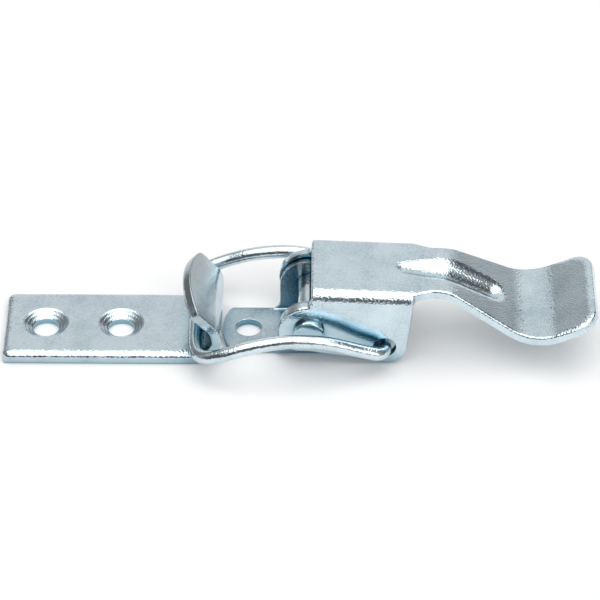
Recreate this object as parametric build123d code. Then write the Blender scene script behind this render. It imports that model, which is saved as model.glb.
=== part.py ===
from build123d import *
import os
from math import atan2, cos, radians, sin, tan

# An over centre toggle latch, shown closed. Millimetres. The origin is on the mounting plane,
# straight below the pivot. +X runs towards the thumb end of the lever, +Z away from the plane.

# Strike plate: a strip with its end folded up and back into a hook.
strike_sheet = 2.0
strike_width = 16.6
strike_end_margin = 6.9         # from the outer screw hole to the plain end
strike_hole_spacing = 12.7
strike_hole_to_hook = 12.4      # from the inner screw hole to the start of the bend
strike_corner_round = 0.7
hook_bend = 2.75                # inside radius
hook_turn = 130.0               # degrees that the strip turns through
hook_distance = 19.3            # from the pivot to the middle of the bend
tongue_length = 6.6
tongue_tip_round = 15.0
tongue_corner_round = 1.2
strike_hole = 4.5
countersink = 7.8
countersink_depth = 1.05
strike_upper_roll = 0.8         # edges rounded by the press
strike_lower_roll = 0.25

# Base plate: a tongue and a tail with a screw hole each, and two ears between them.
base_sheet = 1.2
base_width = 10.5
base_hole = 4.3
base_hole_spacing = 20.0
base_front_hole = 10.2          # from the pivot to the hole in the tongue
base_end_margin = 4.3           # from each hole to its end of the plate
base_end_round = 11.0
base_corner_round = 1.0
base_root_round = 1.3           # where the ears leave the plate
base_bend = 0.45                # inside radius
ear_half_length = 4.9
ear_height = 11.2
ear_roll = 0.25

# Pivot.
pivot_height = 6.96
pin_diameter = 3.8
pin_clearance = 0.05
head_diameter = 5.2
head_height = 0.95
head_round = 0.4
head_play = 0.05

# Lever, in its own frame: the pivot is the origin and the web is level.
lever_sheet = 1.5
lever_width = 16.05
lever_bend = 0.57               # inside radius
lever_roll = 0.45
ear_gap = 0.22                  # between each ear and the flange beside it
closed_tilt = 2.27              # degrees that the closed lever dips
web_height = 7.94
web_front = 0.1
flange_front_round = 5.05
flange_sill = 4.4               # depth of the level stretch of the lower edge
flange_sill_end = 0.4
flange_length = 17.05
flange_notch_round = 0.8
flange_chin_round = 3.0
bail_hole = 3.8
bail_hole_reach = 12.73
bail_hole_drop = 2.77
heel_reach = 3.5                # from the bail hole to the heel's corner, before rounding
heel_drop = 3.95
heel_round = 3.35
neck_notch_round = 1.0          # seen from the side
neck_shoulder = 1.05            # how much further out each edge of the neck starts
neck_shoulder_round = 0.7
neck_taper_length = 2.95
neck_taper_round = 3.0
neck_length = 6.21              # from the flanges to the first bend
neck_flare_start = 5.05         # from the flanges
neck_flare_length = 16.9
neck_flare_round = 12.0
slope_length = 15.96
slope_angle = 28.2
slope_bend = 8.0                # on the upper face
thumb_length = 11.2
thumb_angle = 27.9
thumb_bend = 8.0                # on the upper face
thumb_overhang = 1.675          # how far each side stands out past the channel
thumb_flare_round = 40.0
thumb_corner_round = 3.8

# Rib pressed down into the middle of the lever, deepest where it crosses the first bend.
rib_round = 2.4                 # along its bottom
rib_rim_round = 2.4
rib_front = 1.45                # from the end of the flanges back to the middle of its front end
rib_front_depth = 0.45
rib_crest_depth = 1.6
rib_end_run = 8.1               # from the first bend to the middle of its lower end
rib_end_depth = 1.1

# Bail: one wire bent to a loop, its ends turned in through the flanges.
wire_diameter = 2.3
bail_seat_forward = 0.25        # crossbar, measured from the middle of the hook's bend
bail_seat_drop = 0.85
bail_end_inset = 0.62           # how far each end stands inside its flange
bail_end_spread = 2.15          # from the flange to the bend at each end
bail_end_bend = 2.0
bail_corner_overhang = 3.65     # from the hook's side to the corner of the loop
bail_corner_back = 0.95
bail_corner_rise = 0.33
bail_corner_bend = 3.3
bail_bar_bend = 10.0
# Each bend of an arm: along from the pivot, out from the flange, up from the pivot, radius.
arm_bends = (
    (8.2, 2.60, -1.81, 30.0),
    (3.2, 3.23, 0.34, 20.0),
    (-3.2, 3.98, 1.29, 18.0),
    (-9.5, 4.40, 0.29, 25.0),
    (-13.9, 4.60, -1.26, 15.0),
)

hole_rim_round = 0.15

strike_half = strike_width / 2
lever_half = lever_width / 2
ear_half = lever_half - lever_sheet - ear_gap
neck_half = lever_half - lever_sheet - lever_bend    # the neck is as wide as the flat of the web
thumb_half = lever_half + thumb_overhang
neck_taper_end = flange_length + neck_taper_length
flare_start = flange_length + neck_flare_start
flare_end = flare_start + neck_flare_length
hook_middle = Vector(-hook_distance, 0, strike_sheet + hook_bend)
closed = Pos(0, 0, pivot_height) * Rot(0, closed_tilt, 0)


def prism(outline, plane, reach=100):
    """Solid of an outline drawn on a plane, reaching far to both sides of it."""
    return extrude(plane * outline, amount=reach, both=True)


def corners(outline, *points):
    """The corners of an outline nearest to the given points."""
    return [outline.vertices().sort_by_distance(point)[0] for point in points]


def skin(solid, *points):
    """The faces of a solid nearest to the given points."""
    return [solid.faces().sort_by_distance(point)[0] for point in points]


def rim(faces):
    """The border of a group of joined faces: the edges that only one of them has."""
    edges = [edge for face in faces for edge in face.edges()]
    return [edge for edge in edges if sum(edge.is_same(other) for other in edges) == 1]


def round_rims(solid, diameter):
    """Break the sharp edges of all holes of one diameter."""
    circles = solid.edges().filter_by(GeomType.CIRCLE)
    rims = [edge for edge in circles if abs(2 * edge.radius - diameter) < 0.001]
    return fillet(rims, hole_rim_round)


def cross_pin(diameter, length, along=0, height=0):
    """Cylinder across the latch, for a pin or a hole through both sides."""
    return Pos(along, 0, height) * Rot(90, 0, 0) * Cylinder(diameter / 2, length)


def bend_middle(corner, into, out_of, radius):
    """Middle of the arc that rounds a corner, from the unit directions into and out of it."""
    half_turn = radians(into.get_angle(out_of)) / 2
    return corner + (out_of - into).normalized() * radius * (1 / cos(half_turn) - 1)


def channel(half_width, height, sheet, bend, front, back):
    """A sheet folded to a U, its floor on z = 0, between two stations along X."""
    outer = Pos(0, height / 2) * Rectangle(2 * half_width, height)
    outer = fillet(outer.vertices().group_by(Axis.Y)[0], bend + sheet)
    inner = Pos(0, height / 2 + sheet) * Rectangle(2 * (half_width - sheet), height)
    inner = fillet(inner.vertices().group_by(Axis.Y)[0], bend)
    return extrude(Plane.YZ.offset(front) * (outer - inner), amount=back - front)


def build_strike_plate():
    """Strip with two countersunk holes and a hook."""
    inner_hole = hook_middle.X - strike_hole_to_hook
    outer_hole = inner_hole - strike_hole_spacing
    plain_end = outer_hole - strike_end_margin
    section = Pos(0, strike_sheet / 2) * Rectangle(strike_width, strike_sheet)
    floor = extrude(Plane.YZ.offset(plain_end) * section, amount=hook_middle.X - plain_end)
    floor = fillet(floor.edges().filter_by(Axis.Z).group_by(Axis.X)[0], strike_corner_round)
    bend = revolve(Plane.YZ.offset(hook_middle.X) * section, Axis(hook_middle, (0, -1, 0)), hook_turn)

    lean = radians(hook_turn - 90)
    outward = Vector(cos(lean), 0, sin(lean))
    upward = Vector(-sin(lean), 0, cos(lean))
    root = hook_middle + outward * hook_bend
    blank = Pos(0, tongue_length / 2) * Rectangle(strike_width, tongue_length)
    blank &= Pos(0, tongue_length - tongue_tip_round) * Circle(tongue_tip_round)
    blank = fillet(blank.vertices().sort_by(Axis.Y)[-2:], tongue_corner_round)
    tongue = extrude(Plane(root, x_dir=(0, 1, 0), z_dir=outward) * blank, amount=strike_sheet)
    plate = floor + bend + tongue

    floor_point = Vector((plain_end + hook_middle.X) / 2, 0, strike_sheet)
    tongue_point = root + upward * (tongue_length / 2)
    half_turn = radians(hook_turn) / 2
    bend_way = Vector(sin(half_turn), 0, -cos(half_turn))
    inner_skin = skin(plate, floor_point, hook_middle + bend_way * hook_bend, tongue_point)
    plate = fillet(rim(inner_skin), strike_upper_roll)
    outer_skin = skin(
        plate,
        floor_point - Vector(0, 0, strike_sheet),
        hook_middle + bend_way * (hook_bend + strike_sheet),
        tongue_point + outward * strike_sheet,
    )
    plate = fillet(rim(outer_skin), strike_lower_roll)

    sink = Solid.make_cone(strike_hole / 2, countersink / 2, countersink_depth)
    for hole in (inner_hole, outer_hole):
        plate -= Pos(hole, 0, 0) * Cylinder(strike_hole / 2, 3 * strike_sheet)
        plate -= Pos(hole, 0, strike_sheet - countersink_depth) * sink
    return round_rims(plate, countersink)


def build_base_plate():
    """Tongue and tail with a hole each, and between them an ear folded up on both sides."""
    front_end = -base_front_hole - base_end_margin
    back_hole = base_hole_spacing - base_front_hole
    back_end = back_hole + base_end_margin
    length = back_end - front_end
    middle = (front_end + back_end) / 2
    folded = channel(ear_half, ear_height, base_sheet, base_bend, front_end, back_end)

    ear_straight = ear_height - ear_half_length
    side = Pos(middle, 0) * Rectangle(2 * length, 2 * base_sheet)
    side += Pos(0, ear_straight / 2) * Rectangle(2 * ear_half_length, ear_straight)
    side += Pos(0, ear_straight) * Circle(ear_half_length)
    side_roots = [(x, base_sheet) for x in (-ear_half_length, ear_half_length)]
    side = fillet(corners(side, *side_roots), base_root_round)

    plan = Pos(middle, 0) * Rectangle(length, base_width)
    end_round_middle = length / 2 - base_end_round
    for shift in (-end_round_middle, end_round_middle):
        reach = Pos(middle - shift, 0) * Rectangle(length, 2 * base_end_round)
        plan &= Pos(middle + shift, 0) * Circle(base_end_round) + reach
    plan = fillet(plan.vertices(), base_corner_round)
    plan += Rectangle(2 * ear_half_length, 4 * ear_half)
    half = base_width / 2
    plan_roots = [(x, y) for x in (-ear_half_length, ear_half_length) for y in (-half, half)]
    past_ear = ear_half + ear_roll - half
    plan = fillet(corners(plan, *plan_roots), past_ear)
    plate = folded & prism(side, Plane.XZ)
    for facing in (-1, 1):
        ear = skin(plate, (0, facing * ear_half, ear_straight))
        top = [edge for edge in rim(ear) if edge.center().Z > ear_straight]
        plate = fillet(top, ear_roll)
    plate &= prism(plan, Plane.XY)
    plate -= cross_pin(pin_diameter + 2 * pin_clearance, 3 * ear_half, height=pivot_height)
    for hole in (-base_front_hole, back_hole):
        plate -= Pos(hole, 0, 0) * Cylinder(base_hole / 2, 3 * base_sheet)
    return round_rims(plate, base_hole)


def build_flanges(strip_start):
    """The channel part of the lever, from the front of the flanges to the neck."""
    web_under = web_height - lever_sheet
    flange_depth = bail_hole_drop + heel_drop
    height = web_height + flange_depth
    upright = channel(lever_half, height, lever_sheet, lever_bend, -flange_front_round, strip_start)
    folded = Pos(0, 0, web_height) * Rot(180, 0, 0) * upright

    heel = (bail_hole_reach + heel_reach, -flange_depth)
    notch = (flange_length, web_under)
    side = make_face(
        Polyline(
            (web_front, 2 * web_height),
            (web_front, -flange_sill),
            (flange_sill_end, -flange_sill),
            heel,
            (flange_length, web_under - neck_notch_round),
            notch,
            (2 * flange_length, web_under),
            (2 * flange_length, 2 * web_height),
            close=True,
        )
    )
    square = 2 * flange_front_round
    below_sill = Pos(0, -flange_sill - square / 2) * Rectangle(2 * square, square)
    side += Circle(flange_front_round) - below_sill
    side = fillet(corners(side, heel), heel_round)
    side = fillet(corners(side, notch), neck_notch_round)
    side = fillet(corners(side, (web_front, flange_front_round)), flange_notch_round)
    side = fillet(corners(side, (-flange_front_round / 2, -flange_sill)), flange_chin_round)
    shoulder = (flange_length, neck_half + neck_shoulder)
    edge_line = (
        (-flange_length, 2 * lever_half),
        (flange_length, 2 * lever_half),
        shoulder,
        (neck_taper_end, neck_half),
        (2 * flange_length, neck_half),
    )
    other_line = [(x, -y) for x, y in reversed(edge_line)]
    plan = make_face(Polyline(*edge_line, *other_line, close=True))
    plan = fillet(corners(plan, shoulder, other_line[2]), neck_shoulder_round)
    plan = fillet(corners(plan, edge_line[3], other_line[1]), neck_taper_round)
    flanges = folded & prism(side, Plane.XZ) & prism(plan, Plane.XY)

    fold = lever_bend + lever_sheet
    fold_out = lever_half - fold + fold * sin(radians(45))
    fold_up = web_height - fold + fold * cos(radians(45))
    outside = skin(
        flanges,
        (flange_length / 2, 0, web_height),
        (flange_length / 2, fold_out, fold_up),
        (flange_length / 2, -fold_out, fold_up),
        (0, lever_half, 0),
        (0, -lever_half, 0),
    )
    return fillet([edge for edge in rim(outside) if edge.center().X < strip_start - 0.01], lever_roll)


def build_strip(strip_start, crest, hollow, tip):
    """The neck, slope and thumb end: a strip bent twice, widening towards the thumb end."""
    bends = [(point.X, point.Z) for point in (crest, hollow, tip)]
    upper = FilletPolyline((strip_start, web_height), *bends, radius=(slope_bend, thumb_bend))
    profile = make_face(offset(upper, amount=lever_sheet, side=Side.RIGHT))
    strip = extrude(Plane.XZ * profile, amount=2 * thumb_half, both=True)
    past_tip = tip.X + 2 * lever_sheet
    edge_line = (
        (strip_start, neck_half),
        (flare_start, neck_half),
        (flare_end, thumb_half),
        (past_tip, thumb_half),
    )
    other_line = [(x, -y) for x, y in reversed(edge_line)]
    flare = make_face(Polyline(*edge_line, *other_line, close=True))
    flare = fillet(corners(flare, edge_line[1], other_line[2]), neck_flare_round)
    flare = fillet(corners(flare, edge_line[2], other_line[1]), thumb_flare_round)
    strip &= prism(flare, Plane.XY)
    end_face = strip.faces().sort_by(Axis.X)[-1]
    strip = fillet(end_face.edges().filter_by(Axis.Y, reverse=True), thumb_corner_round)

    level = Vector(1, 0, 0)
    along_slope = (hollow - crest).normalized()
    along_thumb = (tip - hollow).normalized()
    outside = skin(
        strip,
        ((strip_start + flare_start) / 2, 0, web_height),
        bend_middle(crest, level, along_slope, slope_bend),
        (crest + hollow) / 2,
        bend_middle(hollow, along_slope, along_thumb, thumb_bend),
        tip - along_thumb * (thumb_length / 4),
    )
    return fillet([edge for edge in rim(outside) if edge.center().X > strip_start + 0.01], lever_roll)


def build_rib(crest, along_slope, normal):
    """The groove on the upper face and the bulge that it leaves below."""
    low = crest + along_slope * rib_end_run + normal * (rib_round - rib_end_depth)
    front = Vector(flange_length - rib_front, 0, web_height + rib_round - rib_front_depth)
    upright = (Vector(0, 0, 1) + normal).normalized()
    top = crest + upright * (rib_round - rib_crest_depth)
    spine = FilletPolyline((front.X, front.Z), (top.X, top.Z), (low.X, low.Z), radius=slope_bend)
    spine = Plane.XZ * spine
    station = Plane(front, x_dir=(0, 1, 0), z_dir=spine % 0)
    groove = sweep(station * Circle(rib_round), path=spine)
    bulge = sweep(station * Circle(rib_round + lever_sheet), path=spine)
    for end in (front, low):
        groove += Pos(end) * Sphere(rib_round)
        bulge += Pos(end) * Sphere(rib_round + lever_sheet)

    middle = lever_sheet / 2
    corner = crest - upright * middle
    far = crest + along_slope * slope_length - normal * middle
    below = Polyline(
        (0, web_height - middle),
        (corner.X, corner.Z),
        (far.X, far.Z),
        (far.X, -web_height),
        (0, -web_height),
        close=True,
    )
    return groove, bulge & prism(make_face(below), Plane.XZ)


def build_lever():
    """Channel over the ears, running on into a ribbed strip with a scooped end."""
    taper = atan2(neck_shoulder, neck_taper_length)
    strip_start = neck_taper_end + neck_taper_round * tan(taper / 2)
    down = radians(slope_angle)
    up = radians(thumb_angle)
    along_slope = Vector(cos(down), 0, -sin(down))
    slope_normal = Vector(sin(down), 0, cos(down))
    crest = Vector(flange_length + neck_length, 0, web_height)
    hollow = crest + along_slope * slope_length
    tip = hollow + Vector(cos(up), 0, sin(up)) * thumb_length
    lever = build_flanges(strip_start) + build_strip(strip_start, crest, hollow, tip)
    groove, bulge = build_rib(crest, along_slope, slope_normal)
    ribbed = lever + bulge
    ribbed = fillet(new_edges(lever, bulge, combined=ribbed), rib_rim_round - lever_sheet)
    lever = ribbed - groove
    lever = fillet(new_edges(ribbed, groove, combined=lever), rib_rim_round)
    lever -= cross_pin(pin_diameter + 2 * pin_clearance, 2 * lever_width)
    lever -= cross_pin(bail_hole, 2 * lever_width, bail_hole_reach, -bail_hole_drop)
    return closed * round_rims(lever, bail_hole)


def build_wire_bail():
    """Wire loop from the hook to the bail holes of the closed lever."""
    hinge = (closed * Pos(bail_hole_reach, 0, -bail_hole_drop)).position
    bar = hook_middle + Vector(bail_seat_forward, 0, -bail_seat_drop)
    end_out = lever_half + bail_end_spread
    arm = [Vector(x, lever_half + out, pivot_height + rise) for x, out, rise, _ in arm_bends]
    corner = Vector(bail_corner_back, strike_half + bail_corner_overhang, bail_corner_rise) + bar
    one_side = [
        Vector(hinge.X, lever_half - lever_sheet - bail_end_inset, hinge.Z),
        Vector(hinge.X, end_out, hinge.Z),
        *arm,
        corner,
        Vector(bar.X, strike_half, bar.Z),
    ]
    other_side = [Vector(point.X, -point.Y, point.Z) for point in reversed(one_side)]
    arm_radii = [radius for _, _, _, radius in arm_bends]
    radii = [bail_end_bend, *arm_radii, bail_corner_bend, bail_bar_bend]
    route = FilletPolyline(*one_side, *other_side, radius=radii + radii[::-1])
    start = Plane(one_side[0], z_dir=(0, 1, 0))
    return sweep(start * Circle(wire_diameter / 2), path=route)


def build_pivot_rivet():
    """Plain pin with a low rounded head at each side of the lever."""
    seat = lever_half + head_play
    rivet = cross_pin(pin_diameter, 2 * seat, height=pivot_height)
    for facing in (-1, 1):
        place = Plane((0, facing * seat, pivot_height), z_dir=(0, facing, 0))
        head = extrude(place * Circle(head_diameter / 2), amount=head_height)
        rims = head.edges().filter_by(GeomType.CIRCLE)
        outer_edge = max(rims, key=lambda edge: abs(edge.center().Y))
        rivet += fillet(outer_edge, head_round)
    return rivet


pieces = {
    "strike_plate": build_strike_plate(),
    "base_plate": build_base_plate(),
    "lever": build_lever(),
    "wire_bail": build_wire_bail(),
    "pivot_rivet": build_pivot_rivet(),
}
os.makedirs("parts", exist_ok=True)
for name, piece in pieces.items():
    export_step(piece, f"parts/{name}.step")
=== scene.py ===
import bmesh
import bpy
from math import cos, hypot, pi, radians, sin
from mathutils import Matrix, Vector


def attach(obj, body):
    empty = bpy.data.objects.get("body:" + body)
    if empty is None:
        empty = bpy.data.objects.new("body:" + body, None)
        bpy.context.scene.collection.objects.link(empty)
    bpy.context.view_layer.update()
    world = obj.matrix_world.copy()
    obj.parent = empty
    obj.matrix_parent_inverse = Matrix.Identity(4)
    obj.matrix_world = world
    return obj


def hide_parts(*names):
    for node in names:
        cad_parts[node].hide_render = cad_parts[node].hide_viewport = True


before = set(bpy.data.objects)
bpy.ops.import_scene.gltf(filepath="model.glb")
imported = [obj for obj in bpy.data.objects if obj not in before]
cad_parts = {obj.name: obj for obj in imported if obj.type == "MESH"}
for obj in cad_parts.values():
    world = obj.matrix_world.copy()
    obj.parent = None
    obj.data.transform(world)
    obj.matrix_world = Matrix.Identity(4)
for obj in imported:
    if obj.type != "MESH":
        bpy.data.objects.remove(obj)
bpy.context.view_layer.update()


# Viewpoint: a long lens from the front, a little to the right and well above the bench.
# Sizes of the latch are written in mm all through, and lengths of the room in metres.
MM = 0.001
view_target = Vector((-1.52, 0.0, 7.23)) * MM
view_from = Vector((2.443, -454.04, 379.65)) * MM

scene = bpy.context.scene
scene.view_settings.view_transform = "Standard"
view_lens = bpy.data.cameras.new("view")
view_lens.sensor_width = 36.0
view_lens.lens = 210.0
view_lens.clip_start = 0.01
view_lens.clip_end = 20.0
view_camera = bpy.data.objects.new("view", view_lens)
view_camera.location = view_from
view_camera.rotation_euler = (view_target - view_from).to_track_quat("-Z", "Y").to_euler()
scene.collection.objects.link(view_camera)
scene.camera = view_camera


# Bench: a seamless sheet of matt white board, so wide that its edges are out of sight.
# It shows white to the eye and in the metal, and keeps the soft shadow of the latch.
bench_reach = 1.6
bench_drop = 0.05               # mm below the latch, so that the two never touch
bench_white = 0.87
bench_glow = 0.115


def linear(code):
    """Linear colour of an sRGB hex value."""
    parts = [int(code[at:at + 2], 16) / 255 for at in (0, 2, 4)]
    return [p / 12.92 if p < 0.04045 else ((p + 0.055) / 1.055) ** 2.4 for p in parts] + [1.0]


def add(material, kind, settings=None, **links):
    """Adds one node: settings go to its properties or open inputs, links to its inputs.

    A link is called by its input's name, with _ for a space, or by i and the input's number.
    """
    tree = material.node_tree
    made = tree.nodes.new(kind)
    for key, value in (settings or {}).items():
        if isinstance(key, str) and hasattr(made, key):
            setattr(made, key, value)
        else:
            made.inputs[key].default_value = value
    for key, source in links.items():
        place = int(key[1:]) if key[1:].isdigit() else key.replace("_", " ")
        tree.links.new(source, made.inputs[place])
    return made


def blank_material(name):
    """An empty node material."""
    material = bpy.data.materials.new(name)
    material.use_nodes = True
    material.node_tree.nodes.clear()
    return material


board = blank_material("matt_white_board")
rays = add(board, "ShaderNodeLightPath")
seen = rays.outputs["Is Camera Ray"]
for ray in ("Is Glossy Ray", "Is Transmission Ray"):
    seen = add(board, "ShaderNodeMath", {"operation": "MAXIMUM"},
               i0=seen, i1=rays.outputs[ray]).outputs[0]
matt = add(board, "ShaderNodeBsdfDiffuse", {"Color": [bench_white] * 3 + [1.0]})
glow = add(board, "ShaderNodeEmission", {"Strength": bench_glow})
shown = add(board, "ShaderNodeAddShader", i0=matt.outputs[0], i1=glow.outputs[0])
mixed = add(board, "ShaderNodeMixShader", i0=seen, i1=matt.outputs[0], i2=shown.outputs[0])
add(board, "ShaderNodeOutputMaterial", Surface=mixed.outputs[0])

shape = bmesh.new()
bmesh.ops.create_grid(shape, x_segments=1, y_segments=1, size=bench_reach)
bmesh.ops.translate(shape, verts=shape.verts, vec=(0.0, 0.0, -bench_drop * MM))
mesh = bpy.data.meshes.new("bench")
shape.to_mesh(mesh)
shape.free()
mesh.materials.append(board)
bench = bpy.data.objects.new("bench", mesh)
scene.collection.objects.link(bench)


# Light: a wide soft box overhead, a smaller one at the front right, and a grey room round
# them that is paler behind the latch than in front of it, with dim corners to both sides.
lamps = (
    # name, azimuth from straight ahead, elevation, distance, width, height, watts
    ("box_overhead", 180.0, 80.0, 0.80, 1.05, 1.25, 6.2),
    ("box_front_right", 140.0, 30.0, 0.90, 0.42, 0.60, 1.3),
)
room_front = 0.28
room_back = 0.84
room_fade = (-0.35, 0.30)       # from front to back, as the straight-ahead part of a direction
room_sky = 1.0                  # what the eye sees past the bench
dim_corners = (
    # azimuth, elevation, inner and outer radius in degrees, level
    (66.0, 26.0, 20.0, 37.0, 0.12),
    (-60.0, 22.0, 18.0, 38.0, 0.26),
    (-150.0, 25.0, 15.0, 45.0, 0.11),
)


def heading(azimuth, elevation):
    """Direction of a turn to the right of straight ahead, and a rise above the horizon."""
    turn, rise = radians(azimuth), radians(elevation)
    return Vector((sin(turn) * cos(rise), cos(turn) * cos(rise), sin(rise)))


for name, azimuth, elevation, distance, width, height, watts in lamps:
    lamp = bpy.data.lights.new(name, "AREA")
    lamp.shape = "RECTANGLE"
    lamp.size = width
    lamp.size_y = height
    lamp.energy = watts
    box = bpy.data.objects.new(name, lamp)
    box.location = heading(azimuth, elevation) * distance
    box.rotation_euler = box.location.to_track_quat("Z", "Y").to_euler()
    scene.collection.objects.link(box)

room = bpy.data.worlds.new("room")
room.use_nodes = True
room.node_tree.nodes.clear()
scene.world = room
towards = add(room, "ShaderNodeTexCoord").outputs["Generated"]
ahead = add(room, "ShaderNodeSeparateXYZ", i0=towards).outputs["Y"]
wall = add(room, "ShaderNodeMapRange",
           {"interpolation_type": "SMOOTHSTEP", "From Min": room_fade[0], "From Max": room_fade[1],
            "To Min": room_front, "To Max": room_back}, i0=ahead).outputs[0]
for azimuth, elevation, inner, outer, shade in dim_corners:
    near = add(room, "ShaderNodeVectorMath",
               {"operation": "DOT_PRODUCT", 1: heading(azimuth, elevation)}, i0=towards)
    share = add(room, "ShaderNodeMapRange",
                {"interpolation_type": "SMOOTHSTEP", "From Min": cos(radians(outer)),
                 "From Max": cos(radians(inner))}, i0=near.outputs["Value"])
    wall = add(room, "ShaderNodeMix", {"B": shade}, Factor=share.outputs[0], A=wall).outputs[0]
rays = add(room, "ShaderNodeLightPath")
grey = add(room, "ShaderNodeBackground", Color=wall)
white = add(room, "ShaderNodeBackground", {"Color": [room_sky] * 3 + [1.0], "Strength": 1.0})
both = add(room, "ShaderNodeMixShader",
           i0=rays.outputs["Is Camera Ray"], i1=grey.outputs[0], i2=white.outputs[0])
add(room, "ShaderNodeOutputWorld", Surface=both.outputs[0])


# Strike plate: a strip of steel sheet with two countersunk screw holes, its front end turned
# up and leaned back as a hook. Barrel zinc plated after pressing, with a clear blue passivation.
# The plating is bright but faintly orange-peeled, so every turned edge breaks into fine sparkle.
strip_sheet = 2.0               # mm
strip_half = 8.3
strip_end = -51.3
hook_start = -19.3
hook_bend = 2.75                # inside radius
# The third strike colour is painted shade: a deeper blue put where little open sky reaches.
strike_colours = ("B2C2CB", "CEDCE3", "82A9B6")
strike_grain = (0.20, 0.020)


def zinc_plate(name, colours, gloss, grain, crackle, painted_shade_reach=5.0, painted_dimming=None, rings=None):
    """Bright zinc with a blue passivation: cloudy, finely mottled, with painted shade in corners.

    Colours are the zinc's own, its bright clouds, and the deeper blue painted as shade in corners,
    and gloss is its roughness from and to. Grain is mm across and mm deep, drawn coarser than the
    real one so that it shows, and crackle is the same where the sheet was bent. Painted dimming is
    mm up, from and to, and a greyer colour painted over that height as shade. Rings are their centres,
    and mm apart and deep.
    """
    cloud_size = 7.0            # mm
    mottle_size = 0.35
    mottle_share = 0.60
    cloud_edge = (0.55, 0.90)
    mottle_middle = (0.3, 0.7)
    pit_spacing = 3.0           # mm
    pit_radius = 0.11
    pit_floor = 0.6             # of its radius
    pit_colour = "515C64"
    painted_shade_from = (0.85, 0.30)       # share of open sky: where the painted shade starts, and is full
    shade, bright, painted_shade_colour = colours
    material = blank_material(name)
    where = add(material, "ShaderNodeTexCoord").outputs["Object"]

    cloud = add(material, "ShaderNodeTexNoise",
                {"Scale": 1 / (cloud_size * MM), "Detail": 4.0, "Roughness": 0.6}, Vector=where)
    mottle = add(material, "ShaderNodeTexNoise",
                 {"Scale": 1 / (mottle_size * MM), "Detail": 2.0, "Roughness": 0.6}, Vector=where)
    blend = add(material, "ShaderNodeMath", {"operation": "MULTIPLY_ADD", 1: mottle_share},
                i0=mottle.outputs[0], i2=cloud.outputs[0])
    share = add(material, "ShaderNodeMapRange",
                {"From Min": cloud_edge[0], "From Max": cloud_edge[1]}, i0=blend.outputs[0])
    plate = add(material, "ShaderNodeMix",
                {"data_type": "RGBA", 6: linear(shade), 7: linear(bright)}, i0=share.outputs[0])

    pits = add(material, "ShaderNodeTexVoronoi", {"Scale": 1 / (pit_spacing * MM)}, Vector=where)
    pit_edge = pit_radius / pit_spacing
    pitted = add(material, "ShaderNodeMapRange",
                 {"From Min": pit_edge, "From Max": pit_floor * pit_edge}, i0=pits.outputs["Distance"])
    plate = add(material, "ShaderNodeMix", {"data_type": "RGBA", 7: linear(pit_colour)},
                i0=pitted.outputs[0], i6=plate.outputs[2])

    # Painted shade: over the given height the colour is multiplied by a greyer colour.
    if painted_dimming:
        low, high, painted_dim_tint = painted_dimming
        height = add(material, "ShaderNodeSeparateXYZ", i0=where)
        painted_dim_share = add(material, "ShaderNodeMapRange", {"From Min": low * MM, "From Max": high * MM},
                     i0=height.outputs["Z"])
        plate = add(material, "ShaderNodeMix",
                    {"data_type": "RGBA", "blend_type": "MULTIPLY", 7: linear(painted_dim_tint)},
                    i0=painted_dim_share.outputs[0], i6=plate.outputs[2])

    # Painted shade: where ambient occlusion finds little open sky, in corners and hollows, the colour
    # turns to a deeper blue.
    sky = add(material, "ShaderNodeAmbientOcclusion", {"samples": 8, "Distance": painted_shade_reach * MM})
    painted_shade_share = add(material, "ShaderNodeMapRange",
                    {"interpolation_type": "SMOOTHSTEP", "From Min": painted_shade_from[0],
                     "From Max": painted_shade_from[1]}, i0=sky.outputs["AO"])
    colour = add(material, "ShaderNodeMix", {"data_type": "RGBA", 7: linear(painted_shade_colour)},
                 i0=painted_shade_share.outputs[0], i6=plate.outputs[2])
    rough = add(material, "ShaderNodeMapRange",
                {"From Min": mottle_middle[0], "From Max": mottle_middle[1],
                 "To Min": gloss[0], "To Max": gloss[1]}, i0=mottle.outputs[0])

    peel = add(material, "ShaderNodeTexNoise", {"Scale": 1 / (grain[0] * MM), "Detail": 0.0},
               Vector=where)
    bump = add(material, "ShaderNodeBump", {"Strength": 1.0, "Distance": grain[1] * MM},
               Height=peel.outputs[0])
    bent = add(material, "ShaderNodeAttribute", {"attribute_name": "bent"})
    depth = add(material, "ShaderNodeMath", {"operation": "MULTIPLY", 1: crackle[1] * MM},
                i0=bent.outputs["Fac"])
    skin = add(material, "ShaderNodeTexNoise", {"Scale": 1 / (crackle[0] * MM), "Detail": 0.0},
               Vector=where)
    bump = add(material, "ShaderNodeBump", {"Strength": 1.0},
               Height=skin.outputs[0], Distance=depth.outputs[0], Normal=bump.outputs[0])
    if rings:
        centres, ring_spacing, ring_depth = rings
        away = [add(material, "ShaderNodeVectorMath", {"operation": "DISTANCE", 1: centre},
                    i0=where).outputs["Value"] for centre in centres]
        nearest = add(material, "ShaderNodeMath", {"operation": "MINIMUM"}, i0=away[0], i1=away[1])
        turn = add(material, "ShaderNodeMath",
                   {"operation": "MULTIPLY", 1: 2 * pi / (ring_spacing * MM)}, i0=nearest.outputs[0])
        wave = add(material, "ShaderNodeMath", {"operation": "SINE"}, i0=turn.outputs[0])
        bump = add(material, "ShaderNodeBump", {"Strength": 1.0, "Distance": ring_depth * MM},
                   Height=wave.outputs[0], Normal=bump.outputs[0])

    metal = add(material, "ShaderNodeBsdfPrincipled", {"Metallic": 1.0}, Normal=bump.outputs[0],
                Base_Color=colour.outputs[2], Roughness=rough.outputs[0])
    add(material, "ShaderNodeOutputMaterial", Surface=metal.outputs[0])
    return material


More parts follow.
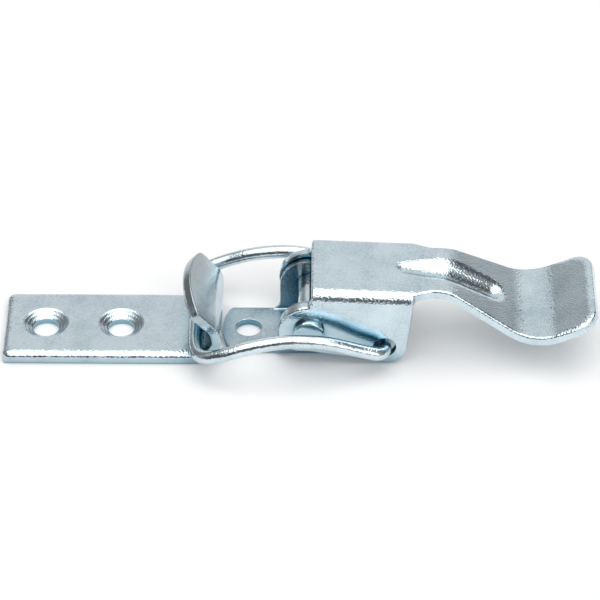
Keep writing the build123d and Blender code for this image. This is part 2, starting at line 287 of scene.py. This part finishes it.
def plated_piece(node, name, material, body):
    """A piece from its solid: points merged, rounds shaded smooth, flats kept flat, bends marked."""
    same_point = 0.0001         # mm
    sharp_edge = 28             # degrees
    same_plane = 0.2            # degrees
    widest_facet = 0.4          # mm, in a tight bend or a rolled edge
    shape = bmesh.new()
    shape.from_mesh(bpy.data.objects[node].data)
    bmesh.ops.remove_doubles(shape, verts=shape.verts, dist=same_point * MM)
    for face in shape.faces:
        face.smooth = True
    for edge in shape.edges:
        if edge.is_manifold:
            edge.smooth = edge.calc_face_angle() < radians(sharp_edge)
    bent = shape.faces.layers.float.new("bent")
    loose = set(shape.faces)
    while loose:
        flat = [loose.pop()]
        for face in flat:
            joined = {other for edge in face.edges for other in edge.link_faces
                      if other in loose and other.normal.angle(face.normal, 0.0) < radians(same_plane)}
            flat += joined
            loose -= joined
        area = sum(face.calc_area() for face in flat)
        length = max(edge.calc_length() for face in flat for edge in face.edges)
        for face in flat:
            face[bent] = float(area < widest_facet * MM * length)
    mesh = bpy.data.meshes.new(name)
    shape.to_mesh(mesh)
    shape.free()
    mesh.materials.append(material)
    piece = bpy.data.objects.new(name, mesh)
    scene.collection.objects.link(piece)
    flats = piece.modifiers.new("flats", "WEIGHTED_NORMAL")
    flats.keep_sharp = True
    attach(piece, body)
    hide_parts(node)
    return piece


# The upper end of the hook is painted greyer: a painted shade that stands in for the darker reflection
# it shows there.
strike_zinc = zinc_plate("bright_zinc_on_strike", strike_colours, gloss=(0.11, 0.16), grain=strike_grain,
                         crackle=(0.30, 0.055), painted_dimming=(7.0, 10.5, "D8D7D6"))
strike = plated_piece("strike_plate", "strike", strike_zinc, "base")

# The press drew the upper edges down gently: the round corner of the solid is spread inwards,
# and the face beyond it gives way, up to short of the screw holes.
edge_round = 0.8                # mm, of the solid
edge_drawn = 1.5
edge_end = 3.0                  # from here in, nothing moves
hair = 0.01                     # mm, for points that lie right on a face


def drawn(inset, narrow, wide, end):
    """New distance from the edge in mm, where a round as wide as `narrow` spreads to `wide`."""
    if inset < narrow:
        return inset * wide / narrow
    return inset + (wide - narrow) * max(0.0, end - inset) / (end - narrow)


for vertex in strike.data.vertices:
    x, y, z = vertex.co / MM
    from_axis = Vector((x - hook_start, 0.0, z - strip_sheet - hook_bend))
    depth = strip_sheet - z if x < hook_start else from_axis.length - hook_bend
    on_strip = x < hook_start and z < strip_sheet + hair
    in_bend = x >= hook_start and z < strip_sheet + hook_bend
    if depth < edge_round + hair and (on_strip or in_bend):
        inset = drawn(strip_half - abs(y), edge_round, edge_drawn, edge_end)
        y = (strip_half - inset) * (1 if y > 0 else -1)
        x = strip_end + drawn(x - strip_end, edge_round, edge_drawn, edge_end)
        vertex.co = Vector((x, y, z)) * MM

# The countersinks were cut before plating, and their walls keep the rings that the tool left,
# drawn wider apart than the real ones so that they show.
screw_holes = [Vector((x, 0.0, strip_sheet)) * MM for x in (-44.4, -31.7)]
countersink_reach = 4.0         # mm
countersink_slope = (0.2, 0.98)         # upward part of a wall's direction, from and to
turned_zinc = zinc_plate("bright_zinc_on_turned_steel", strike_colours, gloss=(0.20, 0.26),
                         grain=strike_grain, crackle=strike_grain, rings=(screw_holes, 0.50, 0.012))
strike.data.materials.append(turned_zinc)
for face in strike.data.polygons:
    from_axis = min(hypot(face.center.x - hole.x, face.center.y) for hole in screw_holes)
    is_wall = countersink_slope[0] < face.normal.z < countersink_slope[1]
    if from_axis < countersink_reach * MM and is_wall:
        face.material_index = 1


# Base plate: pressed from thinner sheet, a tongue and a tail that are screwed down, and two
# round ears folded up between them to carry the pivot. It is plated like the strike plate, with
# a darker painted shade inside the ears: a deeper blue painted where little open sky reaches, over a
# wider reach.
base_zinc = zinc_plate("bright_zinc_on_base", ("A0B2BC", "BECDD4", "588CA2"), gloss=(0.12, 0.18),
                       grain=(0.20, 0.018), crackle=(0.30, 0.030), painted_shade_reach=7.5)
plated_piece("base_plate", "base_frame", base_zinc, "base")


# Pivot rivet: a turned steel pin through both ears and both flanges, with a low round head at
# each end, set cold. The tumbled heads are smoother than the sheet and mirror more sharply.
# Its third colour is the painted shade in its corners.
rivet_zinc = zinc_plate("bright_zinc_on_rivet", ("BCCCD4", "D8E6EC", "6899AC"), gloss=(0.08, 0.13),
                        grain=(0.20, 0.012), crackle=(0.30, 0.010))
plated_piece("pivot_rivet", "rivet", rivet_zinc, "base")


# Lever: a thicker sheet folded to a channel over the ears, running on as a neck with a rib
# pressed into it, and ending in a scooped thumb end. Pressing stretched the skin at the bends,
# which roughens the plating there: a white edge next to a dark one, with speckle between.
# Its third colour is the painted shade in its corners.
lever_zinc = zinc_plate("bright_zinc_on_lever", ("B8C9D2", "D4E3EA", "78A6B6"), gloss=(0.11, 0.16),
                        grain=(0.20, 0.020), crackle=(0.30, 0.055))
handle = plated_piece("lever", "handle", lever_zinc, "lever")

# The upper edge of its thumb end was drawn down gently as well. The thumb end is flat with two
# round corners, and everything is measured in its own plane, inwards from its outline.
thumb_half = 9.7                # mm
thumb_corner = 3.8
thumb_round = 0.45              # of the solid
thumb_drawn = 1.3
thumb_end = 3.2                 # from here in, nothing moves
thumb_bend = 40.0               # its flat face lies past this, along the latch
thumb_start = 40.5              # along the plane, where the drawn edge starts
thumb_run = 2.5                 # from there to its full width

thumb = max((face for face in handle.data.polygons
             if face.center.x > thumb_bend * MM and face.normal.z > 0), key=lambda face: face.area)
up = thumb.normal.copy()
along = Vector((up.z, 0.0, -up.x))
upper_face = up.dot(thumb.center)
thumb_tip = max(along.dot(vertex.co) for vertex in handle.data.vertices) / MM
for vertex in handle.data.vertices:
    x, y = along.dot(vertex.co) / MM, abs(vertex.co.y) / MM
    depth = (upper_face - up.dot(vertex.co)) / MM
    outward = Vector((max(0.0, x - thumb_tip + thumb_corner), max(0.0, y - thumb_half + thumb_corner)))
    inset = thumb_corner - outward.length
    if x > thumb_start and -hair < depth < thumb_round + hair and 0.0 < inset < thumb_end:
        share = min(1.0, (x - thumb_start) / thumb_run)
        move = share * (drawn(inset, thumb_round, thumb_drawn, thumb_end) - inset) * outward.normalized()
        side = 1 if vertex.co.y > 0 else -1
        vertex.co -= (along * move.x + Vector((0.0, side * move.y, 0.0))) * MM


# Bail: one length of hard drawn wire bent to a loop, its ends turned into the flanges of the
# lever and its crossbar lying in the hook. Drawing left it smooth, so the zinc on it is the
# brightest of all, with a white line along its top and a dark one under it.
# Its third colour is the painted shade in its corners.
bail_zinc = zinc_plate("bright_zinc_on_bail", ("BCCCD4", "D8E6EC", "72A7B8"), gloss=(0.08, 0.13),
                       grain=(0.20, 0.014), crackle=(0.30, 0.026))
plated_piece("wire_bail", "bail_loop", bail_zinc, "bail")
